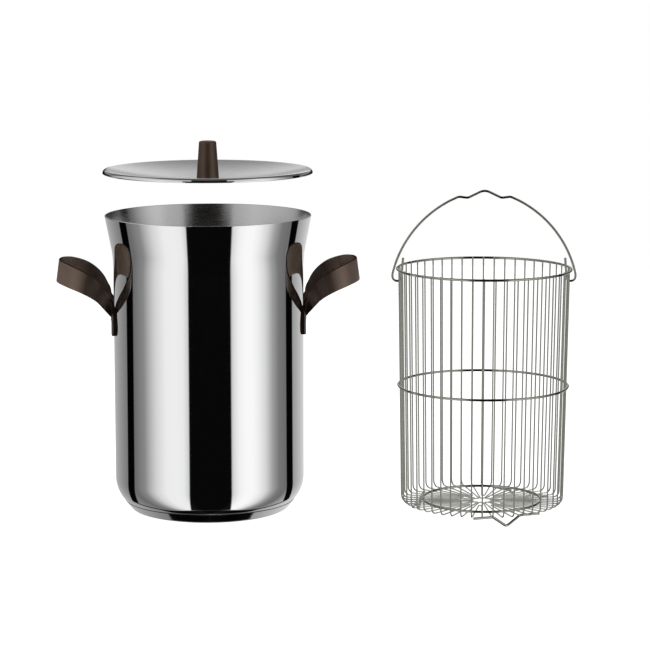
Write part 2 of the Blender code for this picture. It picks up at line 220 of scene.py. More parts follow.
def panel_light(tree, direction):
    """The light of the panels beside and behind the set, and how dark its rear corners are."""
    split = tree.nodes.new("ShaderNodeSeparateXYZ")
    tree.links.new(direction, split.inputs[0])
    x, y, up = split.outputs
    front = add_node(tree, "Math", {0: y, 1: -1.0}, operation="MULTIPLY")
    azimuth = add_node(tree, "Math", {0: x, 1: front}, operation="ARCTAN2")
    turn = add_node(tree, "Math", {0: azimuth, 1: 1 / math.tau, 2: 0.5}, operation="MULTIPLY_ADD")
    level, high = [
        grey_stops(tree, turn, [(degrees / 360 + 0.5, light) for degrees, light in stops])
        for stops in (PANELS, PANELS_ABOVE)
    ]
    above = rising(tree, up, ABOVE_FROM)
    level = add_node(tree, "Mix", {"Factor": above, "A": level, "B": high}, data_type="FLOAT")

    height = add_node(tree, "Math", {0: up, 1: 0.5, 2: 0.5}, operation="MULTIPLY_ADD")
    rear_light = grey_stops(tree, height, [(sine / 2 + 0.5, light) for sine, light in REAR_HEIGHTS])
    aside = add_node(tree, "Math", {0: x}, operation="ABSOLUTE")
    faded = rising(tree, aside, (0.0, REAR_HALF_WIDTH))
    side = add_node(tree, "MapRange", {0: faded, 3: 1.0, 4: REAR_SIDE_LIGHT})
    rear_light = add_node(tree, "Math", {0: rear_light, 1: side}, operation="MULTIPLY")
    behind = rising(tree, y, REAR_DEPTH)
    raised = add_node(tree, "MapRange", {0: up, 1: REAR_BOTTOM[0], 2: REAR_BOTTOM[1]})
    rear = add_node(tree, "Math", {0: behind, 1: raised}, operation="MULTIPLY")
    level = add_node(tree, "Mix", {"Factor": rear, "A": level, "B": rear_light}, data_type="FLOAT")
    corners = between(tree, aside, *CORNER_SIDES, 0.02)
    low_band = between(tree, up, *CORNER_HEIGHTS, 0.004)
    dark = add_node(tree, "Math", {0: corners, 1: low_band}, operation="MULTIPLY")
    return level, add_node(tree, "Math", {0: dark, 1: behind}, operation="MULTIPLY")


def studio_light(tree):
    """The light that comes from each direction, as one grey value."""
    direction = tree.nodes.new("ShaderNodeTexCoord").outputs["Generated"]
    level, dark = panel_light(tree, direction)

    half_way = add_node(tree, "VectorMath", {0: direction, 1: FRONT}, operation="ADD")
    half_way = add_node(tree, "VectorMath", {0: half_way}, operation="NORMALIZE")
    split = tree.nodes.new("ShaderNodeSeparateXYZ")
    tree.links.new(half_way, split.inputs[0])
    x, y, down = split.outputs
    front = add_node(tree, "Math", {0: y, 1: -1.0}, operation="MULTIPLY")
    facing = add_node(tree, "Math", {0: x, 1: front}, operation="ARCTAN2")
    facing = add_node(tree, "Math", {0: facing}, operation="DEGREES")
    down = add_node(tree, "Math", {0: down, 1: -1.0}, operation="MULTIPLY")
    down = add_node(tree, "Math", {0: down}, operation="ARCSINE")
    down = add_node(tree, "Math", {0: down}, operation="DEGREES")
    aside = add_node(tree, "Math", {0: facing, 1: -FLAG_MIDDLE}, operation="ADD")
    spread = add_node(tree, "Math", {0: aside}, operation="ABSOLUTE")
    aside = add_node(tree, "Math", {0: spread, 1: FLAG_BOW_START}, operation="SUBTRACT")
    aside = add_node(tree, "Math", {0: aside, 1: 0.0}, operation="MAXIMUM")
    bow = add_node(tree, "Math", {0: aside, 1: aside}, operation="MULTIPLY")
    bowed = add_node(tree, "Math", {0: bow, 1: FLAG_BOW, 2: down}, operation="MULTIPLY_ADD")
    for left, right, top, bottom in FLAGS:
        across = between(tree, facing, left, right, FLAG_SOFT)
        upright = between(tree, bowed, top, bottom, FLAG_SOFT)
        flag = add_node(tree, "Math", {0: across, 1: upright}, operation="MULTIPLY")
        dark = add_node(tree, "Math", {0: dark, 1: flag}, operation="MAXIMUM")
    edges = []
    for near_end, far_end, middle_edge, side_edge in (FLOOR_TOP, FLOOR_BOTTOM):
        bend = rising(tree, spread, (near_end, far_end))
        edges.append(add_node(tree, "MapRange", {0: bend, 3: middle_edge, 4: side_edge}))
    share = add_node(tree, "MapRange", {0: bowed, 1: edges[0], 2: edges[1]}, clamp=False)
    crescent = between(tree, share, 0.0, 1.0, 0.06)
    near = between(tree, spread, -1.0, FLOOR_REACH, 1.0)
    crescent = add_node(tree, "Math", {0: crescent, 1: near}, operation="MULTIPLY")
    dark = add_node(tree, "Math", {0: dark, 1: crescent}, operation="MAXIMUM")
    lit = add_node(tree, "MapRange", {0: dark, 3: 1.0, 4: FLAG_LIGHT})
    level = add_node(tree, "Math", {0: level, 1: lit}, operation="MULTIPLY")

    under = between(tree, facing, *UNDER_REACH, UNDER_SOFT)
    past_floor = add_node(tree, "MapRange", {0: down, 1: UNDER_FROM[0], 2: UNDER_FROM[1]})
    under = add_node(tree, "Math", {0: under, 1: past_floor}, operation="MULTIPLY")
    shade = add_node(tree, "MapRange", {0: under, 3: 1.0, 4: UNDER_LIGHT})
    level = add_node(tree, "Math", {0: level, 1: shade}, operation="MULTIPLY")
    split = tree.nodes.new("ShaderNodeSeparateXYZ")
    tree.links.new(direction, split.inputs[0])
    zenith = rising(tree, split.outputs["Z"], ZENITH_FROM)
    dimmed = {"Factor": zenith, "A": level, "B": ZENITH_LIGHT}
    return add_node(tree, "Mix", dimmed, data_type="FLOAT")


world = bpy.data.worlds.new("studio")
scene.world = world
world.use_nodes = True
tree = world.node_tree
tree.nodes.clear()
studio = add_node(tree, "Background", {"Color": studio_light(tree), "Strength": 1.0})
backdrop = add_node(tree, "Background", {"Color": (1, 1, 1, 1), "Strength": 1.0})
rays = tree.nodes.new("ShaderNodeLightPath")
seen = add_node(tree, "MixShader", {0: rays.outputs["Is Camera Ray"], 1: studio, 2: backdrop})
tree.links.new(seen, tree.nodes.new("ShaderNodeOutputWorld").inputs["Surface"])

lamp = bpy.data.objects.new("overhead_lamp", bpy.data.lights.new("overhead_lamp", "AREA"))
scene.collection.objects.link(lamp)
lamp.location = (LAMP_X, LAMP_Y, LAMP_HEIGHT)
lamp.rotation_euler.x = math.radians(LAMP_TURN)
lamp.data.size = LAMP_SIZE
lamp.data.energy = LAMP_WATTS
lamp.visible_camera = False
lamp.visible_glossy = False


def linear(colour):
    """An sRGB colour such as "8C7B6A" as the linear values that a shader takes."""
    parts = [int(colour[place:place + 2], 16) / 255 for place in (0, 2, 4)]
    return [p / 12.92 if p <= 0.04045 else ((p + 0.055) / 1.055) ** 2.4 for p in parts] + [1.0]


def surface(name):
    """A new material, its node tree and its Principled shader."""
    material = bpy.data.materials.new(name)
    material.use_nodes = True
    return material, material.node_tree, material.node_tree.nodes["Principled BSDF"]


floor_paint, tree, shader = surface("white_floor")
shader.inputs["Base Color"].default_value = linear("F0F0F0")
shader.inputs["Roughness"].default_value = 0.9
rays = tree.nodes.new("ShaderNodeLightPath")
glow = {0: rays.outputs["Is Camera Ray"], 1: FLOOR_GLOW}
glow = add_node(tree, "Math", glow, operation="MULTIPLY")
tree.links.new(glow, shader.inputs["Emission Strength"])
shader.inputs["Emission Color"].default_value = (1, 1, 1, 1)
clear = add_node(tree, "BsdfTransparent")
seen = add_node(
    tree, "MixShader", {0: rays.outputs["Is Glossy Ray"], 1: shader.outputs[0], 2: clear}
)
tree.links.new(seen, tree.nodes["Material Output"].inputs["Surface"])

shape = bmesh.new()
bmesh.ops.create_circle(shape, cap_ends=True, segments=96, radius=FLOOR_R)
bmesh.ops.translate(shape, verts=shape.verts, vec=(cad_box[1].x / 4, 0, -FLOOR_DROP))
floor_mesh = bpy.data.meshes.new("floor")
shape.to_mesh(floor_mesh)
shape.free()
floor_mesh.materials.append(floor_paint)
floor = bpy.data.objects.new("floor", floor_mesh)
scene.collection.objects.link(floor)


# Heat-spreading core: a plain disc of rolled aluminium, shut in between the shell and the cap.
# Only its edge could ever be seen, through the thin groove under the shell.
ALUMINIUM_GRAIN = 0.6       # millimetres

rolled_aluminium, tree, shader = surface("rolled_aluminium")
place = tree.nodes.new("ShaderNodeTexCoord").outputs["Object"]
grain = add_node(tree, "TexNoise", {"Vector": place, "Scale": 1000 / ALUMINIUM_GRAIN})
shader.inputs["Base Color"].default_value = linear("C9CACC")
shader.inputs["Metallic"].default_value = 1.0
dull = add_node(tree, "MapRange", {0: grain, 3: 0.35, 4: 0.5})
tree.links.new(dull, shader.inputs["Roughness"])
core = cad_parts["base_core_disc"]
core.data.materials.clear()
core.data.materials.append(rolled_aluminium)


# Pot shell: one sheet of stainless steel, drawn to a tube with a rounded corner, its mouth
# flared and its rim rounded. Outside it is polished to a mirror, inside it is brushed satin.
MM = 0.001
TURN_STEPS = 192
POT_WALL = 1.0 * MM
POT_INNER_R = 80 * MM
POT_R = POT_INNER_R + POT_WALL
FLARE_HEIGHT = 35.8 * MM
FLARE_BEND_R = 80 * MM      # of the soft bend at the foot of the flare
CORNER_R = 28.5 * MM
CORNER_SWEEP = 42.8         # degrees of the corner that show above the base
BRUSH_PITCH = 0.3           # millimetres between brush lines, drawn coarse enough to show
BRUSH_REACH = 5             # how often a line changes along its circle
BRUSH_SPREAD = 0.05         # of the roughness, to each side
BRUSH_PULL = 0.7            # how strongly the brushing draws reflections out across its lines

shell_low, shell_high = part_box("pot_shell")
POT_HEIGHT = shell_high.z
SHELL_FLOOR_Z = shell_low.z
MOUTH_R = (shell_high.x - shell_low.x) / 2


def arc(centre, radius, start, end, steps):
    """Points (x, z) along an arc, from one angle to the other in degrees from +X."""
    angles = [math.radians(start + (end - start) * step / steps) for step in range(steps + 1)]
    return [
        (centre[0] + radius * math.cos(angle), centre[1] + radius * math.sin(angle))
        for angle in angles
    ]


def turned(name, profile):
    """A mesh turned about Z from points (radius, height) that start and end on the axis."""
    shape = bmesh.new()
    start = shape.verts.new((profile[0][0], 0, profile[0][1]))
    geometry = [start]
    for radius, height in profile[1:]:
        grown = bmesh.ops.extrude_vert_indiv(shape, verts=[start])
        start = grown["verts"][0]
        start.co = (radius, 0, height)
        geometry += [start, *grown["edges"]]
    bmesh.ops.spin(
        shape,
        geom=geometry,
        cent=(0, 0, 0),
        axis=(0, 0, 1),
        angle=math.tau,
        steps=TURN_STEPS,
        use_merge=True,
    )
    bmesh.ops.remove_doubles(shape, verts=shape.verts, dist=0.001 * MM)
    bmesh.ops.recalc_face_normals(shape, faces=shape.faces)
    mesh = bpy.data.meshes.new(name)
    shape.to_mesh(mesh)
    shape.free()
    mesh.shade_smooth()
    mesh.set_sharp_from_angle(angle=math.radians(30))
    return mesh


def eased(low, high, steps):
    """Heights from low to high that stand closer together at both ends."""
    shares = [(1 - math.cos(math.pi * step / steps)) / 2 for step in range(1, steps)]
    return [low + (high - low) * share for share in shares]


def add_piece(name, data, materials, body, slot, *nodes):
    """A finished piece that rides on a body and stands for the nodes named."""
    for material in materials:
        data.materials.append(material)
    piece = bpy.data.objects.new(name, data)
    scene.collection.objects.link(piece)
    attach(piece, body)
    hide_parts(*nodes)
    return piece


def round_place(tree, along, across):
    """A vector for marks that run in circles about Z: their length and their pitch, in metres."""
    place = tree.nodes.new("ShaderNodeTexCoord").outputs["Object"]
    split = tree.nodes.new("ShaderNodeSeparateXYZ")
    tree.links.new(place, split.inputs[0])
    x, y, z = split.outputs
    flat = add_node(tree, "CombineXYZ", {"X": x, "Y": y})
    out = add_node(tree, "VectorMath", {0: flat}, operation="NORMALIZE")
    out = add_node(tree, "VectorMath", {0: out, 1: (along, along, 0)}, operation="MULTIPLY")
    radius = add_node(tree, "VectorMath", {0: flat}, operation="LENGTH")
    rise = add_node(tree, "Math", {0: radius, 1: z}, operation="ADD")
    rise = add_node(tree, "Math", {0: rise, 1: 1 / across}, operation="MULTIPLY")
    lift = add_node(tree, "CombineXYZ", {"Z": rise})
    return add_node(tree, "VectorMath", {0: out, 1: lift}, operation="ADD")


def polished_steel(name, colour, haze, wave_height):
    """Mirror-polished stainless steel: clear reflections, with a trace of polishing haze."""
    material, tree, shader = surface(name)
    marks = round_place(tree, 4, 0.8 * MM)
    lines = add_node(tree, "TexNoise", {"Vector": marks, "Scale": 1.0, "Detail": 3.0})
    shader.inputs["Base Color"].default_value = linear(colour)
    shader.inputs["Metallic"].default_value = 1.0
    hazy = add_node(tree, "MapRange", {0: lines, 1: 0.3, 2: 0.7, 3: 0.6 * haze, 4: 1.4 * haze})
    tree.links.new(hazy, shader.inputs["Roughness"])
    place = tree.nodes.new("ShaderNodeTexCoord").outputs["Object"]
    waves = add_node(tree, "TexNoise", {"Vector": place, "Scale": 60.0, "Detail": 1.0})
    bump = add_node(tree, "Bump", {"Height": waves, "Strength": 1.0, "Distance": wave_height})
    tree.links.new(bump, shader.inputs["Normal"])
    return material


def satin_steel(name, colour, roughness):
    """Stainless steel brushed round its axis: a soft sheen broken by fine circular lines, which
    draws each reflection out across them."""
    material, tree, shader = surface(name)
    marks = round_place(tree, BRUSH_REACH, BRUSH_PITCH * MM)
    lines = add_node(tree, "TexNoise", {"Vector": marks, "Scale": 1.0, "Detail": 4.0})
    shader.inputs["Metallic"].default_value = 1.0
    ramp = tree.nodes.new("ShaderNodeValToRGB")
    tree.links.new(lines, ramp.inputs["Fac"])
    dark, light = ramp.color_ramp.elements
    dark.position = 0.25
    dark.color = [0.88 * part for part in linear(colour)[:3]] + [1]
    light.position = 0.75
    light.color = linear(colour)
    tree.links.new(ramp.outputs["Color"], shader.inputs["Base Color"])
    ends = {3: roughness - BRUSH_SPREAD, 4: roughness + BRUSH_SPREAD}
    spread = add_node(tree, "MapRange", {0: lines, 1: 0.3, 2: 0.7, **ends})
    tree.links.new(spread, shader.inputs["Roughness"])
    bump = add_node(tree, "Bump", {"Height": lines, "Strength": 0.03, "Distance": 0.02 * MM})
    tree.links.new(bump, shader.inputs["Normal"])
    round_axis = add_node(tree, "Tangent", direction_type="RADIAL", axis="Z")
    tree.links.new(round_axis, shader.inputs["Tangent"])
    shader.inputs["Anisotropic"].default_value = BRUSH_PULL
    shader.inputs["Anisotropic Rotation"].default_value = 0.25
    return material


wall_mirror = polished_steel("mirror_polished_steel", "F4F4F5", 0.035, 0.0)
inner_satin = satin_steel("brushed_inner_steel", "DADADA", 0.24)

corner_x = POT_R - CORNER_R
corner_z = SHELL_FLOOR_Z + CORNER_R * math.sin(math.radians(CORNER_SWEEP))
inner_floor_z = SHELL_FLOOR_Z + POT_WALL
inner_corner_r = CORNER_R - POT_WALL
inner_sweep = math.degrees(math.asin((corner_z - inner_floor_z) / inner_corner_r))
flare = math.degrees(math.atan((MOUTH_R - POT_R) / FLARE_HEIGHT))
bend_x = POT_R + FLARE_BEND_R
bend_z = POT_HEIGHT - FLARE_HEIGHT - FLARE_BEND_R * math.tan(math.radians(flare / 2))
outer_bend = arc((bend_x, bend_z), FLARE_BEND_R, 180, 180 - flare, 16)
inner_bend = arc((bend_x, bend_z), FLARE_BEND_R + POT_WALL, 180 - flare, 180, 16)
rim_middle = (MOUTH_R - POT_WALL / 2, POT_HEIGHT - POT_WALL / 2)
rim = arc(rim_middle, POT_WALL / 2, -flare, 180 - flare, 10)
outer_wall = [(POT_R, height) for height in eased(corner_z, bend_z, 14)]
inner_wall = [(POT_INNER_R, height) for height in reversed(eased(corner_z, bend_z, 14))]
floor_ring = corner_x + CORNER_R * math.cos(math.radians(CORNER_SWEEP))
profile = [(0, SHELL_FLOOR_Z), (floor_ring - 2 * MM, SHELL_FLOOR_Z)]
profile += arc((corner_x, corner_z), CORNER_R, -CORNER_SWEEP, 0, 28)
profile += [*outer_wall, *outer_bend, *rim, *inner_bend, *inner_wall]
profile += arc((corner_x, corner_z), inner_corner_r, 0, -inner_sweep, 28)
profile += [(corner_x / 2, inner_floor_z), (0, inner_floor_z)]
shell_mesh = turned("pot_shell_drawn", profile)
for face in shell_mesh.polygons:
    middle = face.center
    facing_axis = face.normal.x * middle.x + face.normal.y * middle.y < 0
    above_floor = face.normal.z > 0.7 and middle.z < corner_z
    face.material_index = int(facing_axis or above_floor)
shell_coats = [wall_mirror, inner_satin]
add_piece("drawn_shell", shell_mesh, shell_coats, "pot", "polished_steel", "pot_shell")


# Base cap: thin polished steel pressed over the core. Its side slopes in to a rounded foot, the
# pressing left it slightly wavy, and a hair-wide groove parts it from the shell.
BASE_FLAT_R = 65.6 * MM
BASE_FOOT_R = 3.2 * MM      # of the rounding between the flat and the sloping side
CAP_SHEET = 0.8 * MM
GROOVE = 0.25 * MM          # added to the gap under the shell by lowering the cap's top
CAP_WAVE = 0.07             # millimetres

cap_low, cap_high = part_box("base_cap")
base_r = (cap_high.x - cap_low.x) / 2
base_height = cap_high.z - GROOVE


def base_edge(inset):
    """The rounded foot and the sloping side above it, moved in by inset all along."""
    width = base_r - BASE_FLAT_R
    rise = base_height - BASE_FOOT_R
    slope = math.atan2(rise, width) + math.asin(BASE_FOOT_R / math.hypot(rise, width))
    middle = (BASE_FLAT_R, BASE_FOOT_R)
    foot = arc(middle, BASE_FOOT_R - inset, -90, math.degrees(slope) - 90, 12)
    top = Vector((base_r - inset / math.sin(slope), base_height))
    start = Vector(foot[-1])
    return foot + [tuple(start.lerp(top, share)) for share in (0.05, 0.3, 0.6, 0.95, 1)]


cap_steel = polished_steel("pressed_polished_steel", "EDEDEE", 0.06, CAP_WAVE * MM)
profile = [(0, 0), (BASE_FLAT_R / 2, 0), *base_edge(0)]
profile += [*reversed(base_edge(CAP_SHEET)), (0, CAP_SHEET)]
cap_mesh = turned("base_cap_pressed", profile)
add_piece("pressed_cap", cap_mesh, [cap_steel], "pot", "polished_steel", "base_cap")


# Handles: each is one flat strap of steel under a warm brown satin coat, matt and darker on its
# cut edges. Its two rounded ends are welded side by side to the wall, and between them it twists
# into a loop that leans out.
POT_TURN = 3.2              # degrees
STRAP_GAP = 0.05 * MM       # between the strap and the wall
STRAP_WIDTH = 18.5 * MM
STRAP_THICKNESS = 2.2 * MM
STRAP_FOOT_Z = 151.1 * MM
STRAP_END_R = 6 * MM
STRAP_PARTING = 1.2 * MM
STRAP_PAD = 10.5 * MM
STRAP_REACH = 46.1 * MM
STRAP_SPREAD = 32.2 * MM
STRAP_RISE = 46 * MM
STRAP_LEAN = 2.6 * MM
STRAP_CROWN = 0.3 * MM
STRAP_EDGE = 0.45 * MM      # how far its long edges are rounded
STRAP_STEPS = 9             # rows of the mesh between two stations
STRAP_TRACKS = 9            # points across the strap
# The coat's painted light: from the first distance from the axis to the second, the loop's outer
# end is painted lighter.
PAINTED_LIGHT_FROM = 104 * MM      # from the axis: painted light starts here
PAINTED_LIGHT_FULLY = 130 * MM
# Stations of the lower edge as shares of reach, spread and rise, and the strap's turn from level
STRAP_STATIONS = (
    (0.022, 0.040, 0.315, 38),
    (0.110, 0.240, 0.405, 55),
    (0.190, 0.555, 0.535, 65),
    (0.310, 0.830, 0.695, 74),
    (0.515, 1.000, 0.850, 80),
    (0.770, 0.885, 0.955, 85),
    (0.945, 0.485, 0.995, 88),
    (1.000, 0.000, 1.000, 90),
)


def smooth(points, steps):
    """A Catmull-Rom curve through the points, with the same few steps in each span."""
    padded = [2 * points[0] - points[1], *points, 2 * points[-1] - points[-2]]
    curve = []
    for a, b, c, d in zip(padded, padded[1:], padded[2:], padded[3:]):
        for step in range(steps):
            t = step / steps
            curve.append(
                (2 * b + (c - a) * t + (2 * a - 5 * b + 4 * c - d) * t**2
                 + (3 * b - a - 3 * c + d) * t**3) / 2
            )
    return curve + [points[-1]]


def pad_row(height, inset):
    """The strap's inner face where it lies round the wall, narrowed near a rounded end."""
    row = []
    wall_r = POT_R + STRAP_GAP
    for track in range(STRAP_TRACKS):
        share = track / (STRAP_TRACKS - 1)
        angle = (STRAP_PARTING / 2 + inset + (STRAP_WIDTH - 2 * inset) * share) / wall_r
        place = (wall_r * math.cos(angle), wall_r * math.sin(angle), STRAP_FOOT_Z + height)
        row.append(Vector(place))
    return row


def strap_row(low, direction, bulge):
    """The strap's inner face at one station, from its lower to its upper edge."""
    row = []
    for track in range(STRAP_TRACKS):
        share = track / (STRAP_TRACKS - 1)
        crown = bulge * 4 * share * (1 - share)
        row.append(low + direction * STRAP_WIDTH * share + Vector((crown, 0, 0)))
    return row


def strap_rows():
    """Rows of the inner face, from one foot over the loop to the other, for a handle at +X."""
    end = []
    for step in range(9):
        angle = math.pi / 2 * step / 9
        height = STRAP_END_R * (1 - math.cos(angle))
        end.append(pad_row(height, STRAP_END_R * (1 - math.sin(angle))))
    half = [pad_row((STRAP_END_R + STRAP_PAD) / 2, 0), pad_row(STRAP_PAD, 0)]
    for number, (out, across, up, turn) in enumerate(STRAP_STATIONS):
        low = Vector((
            POT_R + STRAP_GAP + out * STRAP_REACH,
            across * STRAP_SPREAD + STRAP_PARTING / 2 * (1 - out),
            STRAP_FOOT_Z + up * STRAP_RISE,
        ))
        turn = math.radians(turn)
        lean = -STRAP_LEAN / STRAP_WIDTH
        direction = Vector((lean, math.cos(turn), math.sin(turn))).normalized()
        half.append(strap_row(low, direction, STRAP_CROWN / (1 + number)))
    mirror = Matrix.Diagonal((1, -1, 1))
    loop = half + [[mirror @ point for point in row] for row in reversed(half[:-1])]
    tracks = [smooth([row[track] for row in loop], STRAP_STEPS) for track in range(STRAP_TRACKS)]
    far_end = [[mirror @ point for point in row] for row in reversed(end)]
    return end + [list(row) for row in zip(*tracks)] + far_end


def strap_mesh(name, turn):
    """The strap's inner face, for a handle turned about the pot's axis by some degrees."""
    rows = strap_rows()
    shape = bmesh.new()
    bmesh.ops.create_grid(shape, x_segments=STRAP_TRACKS - 1, y_segments=len(rows) - 1, size=1)
    for vert in shape.verts:
        track = round((vert.co.x + 1) / 2 * (STRAP_TRACKS - 1))
        row = round((vert.co.y + 1) / 2 * (len(rows) - 1))
        vert.co = rows[row][track]
    about_axis = Matrix.Rotation(math.radians(turn), 3, "Z")
    bmesh.ops.rotate(shape, verts=shape.verts, cent=(0, 0, 0), matrix=about_axis)
    bmesh.ops.recalc_face_normals(shape, faces=shape.faces)
    foot = min(shape.faces, key=lambda face: face.calc_center_median().z)
    middle = foot.calc_center_median()
    if foot.normal.x * middle.x + foot.normal.y * middle.y < 0:
        bmesh.ops.reverse_faces(shape, faces=shape.faces)
    mesh = bpy.data.meshes.new(name)
    shape.to_mesh(mesh)
    shape.free()
    mesh.shade_smooth()
    return mesh


def brown_coat(name, light, dark, painted_lit_colour, sheen=0.55):
    """Satin brown coat on steel: slightly metallic, and painted lighter further from the pot's
    axis, as painted light on the loop's outer end.
    """
    material, tree, shader = surface(name)
    place = tree.nodes.new("ShaderNodeTexCoord").outputs["Object"]
    clouds = add_node(tree, "TexNoise", {"Vector": place, "Scale": 90.0, "Detail": 3.0})
    ramp = tree.nodes.new("ShaderNodeValToRGB")
    tree.links.new(clouds, ramp.inputs["Fac"])
    low, high = ramp.color_ramp.elements
    low.position = 0.3
    low.color = linear(dark)
    high.position = 0.7
    high.color = linear(light)
    reach = add_node(tree, "VectorMath", {0: place, 1: (1, 1, 0)}, operation="MULTIPLY")
    reach = add_node(tree, "VectorMath", {0: reach}, operation="LENGTH")
    # painted light: the colour turns lighter towards the loop's outer end, away from the pot's wall
    painted_light_share = add_node(tree, "MapRange", {0: reach, 1: PAINTED_LIGHT_FROM, 2: PAINTED_LIGHT_FULLY})
    blend = {"Factor": painted_light_share, "A": ramp.outputs["Color"], "B": linear(painted_lit_colour)}
    colour = add_node(tree, "Mix", blend, data_type="RGBA")
    tree.links.new(colour, shader.inputs["Base Color"])
    shader.inputs["Metallic"].default_value = sheen
    shader.inputs["Specular IOR Level"].default_value = sheen
    grain = add_node(tree, "TexNoise", {"Vector": place, "Scale": 2200.0, "Detail": 2.0})
    spread = add_node(tree, "MapRange", {0: grain, 1: 0.3, 2: 0.7, 3: 0.40, 4: 0.48})
    tree.links.new(spread, shader.inputs["Roughness"])
    bump = add_node(tree, "Bump", {"Height": grain, "Strength": 0.2, "Distance": 0.02 * MM})
    tree.links.new(bump, shader.inputs["Normal"])
    return material


# The third colour is painted light, at the loops' outer ends.
coat = brown_coat("brown_satin_coat", "483930", "382B22", "A08A7A")
edge_coat = brown_coat("matt_brown_edge_coat", "2C221A", "241B14", "33281F", sheen=0.0)
for side, turn in (("right", 0), ("left", 180)):
    strap = add_piece(
        side + "_loop_strap",
        strap_mesh(side + "_loop_strap", POT_TURN + turn),
        [coat, edge_coat],
        "pot",
        "brown_coat",
        side + "_handle_strap",
    )
    sheet = strap.modifiers.new("Sheet", "SOLIDIFY")
    sheet.thickness = STRAP_THICKNESS
    sheet.offset = 1
    sheet.use_even_offset = True
    sheet.material_offset_rim = 1
    edges = strap.modifiers.new("Edges", "BEVEL")
    edges.width = STRAP_EDGE
    edges.segments = 3
    edges.limit_method = "ANGLE"
    edges.angle_limit = math.radians(50)
    edges.material = 1


# Lid: a spun saucer of stainless steel. Its bowl is brushed satin, its rim is turned down and
# polished, and so is its underside.
LID_SHEET = 0.8 * MM
LID_RIM_R = 3.0 * MM
LID_RIM_HEIGHT = 3.6 * MM
LID_DEPTH = 9.2 * MM
LID_BOWL = 2.3              # power of the bowl's curve

lid_low, lid_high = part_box("lid_dish")
lid_r = (lid_high.x - lid_low.x) / 2
rim_z = lid_high.z
lid_bowl_r = lid_r - LID_RIM_R
lid_slope = math.atan(LID_DEPTH * LID_BOWL / lid_bowl_r)
bend_start = lid_bowl_r - LID_RIM_R * math.sin(lid_slope)


def lid_bowl(radius):
    """Height of the bowl's upper face against the top of the rim."""
    share = (radius / lid_bowl_r) ** LID_BOWL - (bend_start / lid_bowl_r) ** LID_BOWL
    return LID_DEPTH * share - LID_RIM_R * (1 - math.cos(lid_slope))


lid_satin = satin_steel("brushed_lid_steel", "DADADA", 0.24)
bend = (lid_bowl_r, rim_z - LID_RIM_R)
bend_angle = 90 + math.degrees(lid_slope)
over = arc(bend, LID_RIM_R, bend_angle, 0, 16)
under = arc(bend, LID_RIM_R - LID_SHEET, bend_angle, 0, 16)
top = [(bend_start * step / 28, rim_z + lid_bowl(bend_start * step / 28)) for step in range(28)]
underside = [(radius, height - LID_SHEET) for radius, height in top]
lip_middle = (lid_r - LID_SHEET / 2, rim_z - LID_RIM_HEIGHT + LID_SHEET / 2)
lip = arc(lip_middle, LID_SHEET / 2, 180, 360, 8)
profile = [*underside, *under, *lip, *reversed(over), *reversed(top)]
lid_mesh = turned("lid_dish_spun", profile)
for face in lid_mesh.polygons:
    in_bowl = face.normal.z > 0.9 and math.hypot(face.center.x, face.center.y) < bend_start
    face.material_index = int(in_bowl)
lid = add_piece("spun_lid", lid_mesh, [wall_mirror, lid_satin], "lid", "satin_steel", "lid_dish")
lid.visible_glossy = False


# Knob: a tapered handle turned from steel, with a rounded top edge and the same brown coat as
# # the straps, here painted lighter than on the straps as painted light. A blind bore in its foot
# takes the stud.
KNOB_EDGE_R = 1.6 * MM
KNOB_FOOT_EDGE_R = 0.3 * MM
KNOB_TOP_R = 7.4 * MM
KNOB_DOME = 0.25 * MM       # how far the top stands up in the middle
KNOB_BORE_R = 2.8 * MM
KNOB_BORE_DEPTH = 15 * MM

knob_low, knob_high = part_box("lid_knob")
knob_r = (knob_high.x - knob_low.x) / 2
foot_z = knob_low.z
top_z = knob_high.z - KNOB_DOME
knob_coat_painted_lighter = brown_coat("brown_satin_knob_coat_painted_lighter", "685347", "5B483C", "685347")
bore_z = foot_z + KNOB_BORE_DEPTH
bore = [(0, bore_z), (KNOB_BORE_R, bore_z), (KNOB_BORE_R, foot_z)]
foot = arc((knob_r - KNOB_FOOT_EDGE_R, foot_z + KNOB_FOOT_EDGE_R), KNOB_FOOT_EDGE_R, -90, 0, 4)
edge = arc((KNOB_TOP_R - KNOB_EDGE_R, top_z - KNOB_EDGE_R), KNOB_EDGE_R, 4, 86, 10)
dome = [(KNOB_TOP_R * share, knob_high.z - KNOB_DOME * share**2) for share in (0.6, 0.4, 0.2, 0)]
side_start = Vector(foot[-1])
sides = [tuple(side_start.lerp(Vector(edge[0]), share)) for share in (0.02, 0.25, 0.5, 0.75, 0.98)]
knob_mesh = turned("turned_knob", [*bore, *foot, *sides, *edge, *dome])
add_piece("turned_knob", knob_mesh, [knob_coat_painted_lighter], "lid", "brown_coat", "lid_knob")


# Stud: a short threaded steel pin, welded to the middle of the lid. The knob hides it.
THREAD_PITCH = 0.8          # millimetres

thread_steel, tree, shader = surface("threaded_steel")
place = tree.nodes.new("ShaderNodeTexCoord").outputs["Object"]
thread = add_node(
    tree,
    "TexWave",
    {"Vector": place, "Scale": math.tau / 20 / (THREAD_PITCH * MM)},
    bands_direction="Z",
)
shader.inputs["Base Color"].default_value = linear("B9B9BA")
shader.inputs["Metallic"].default_value = 1.0
shader.inputs["Roughness"].default_value = 0.35
bump = add_node(tree, "Bump", {"Height": thread, "Strength": 0.8, "Distance": 0.3 * MM})
tree.links.new(bump, shader.inputs["Normal"])
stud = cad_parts["knob_stud"]
stud.data.materials.clear()
stud.data.materials.append(thread_steel)


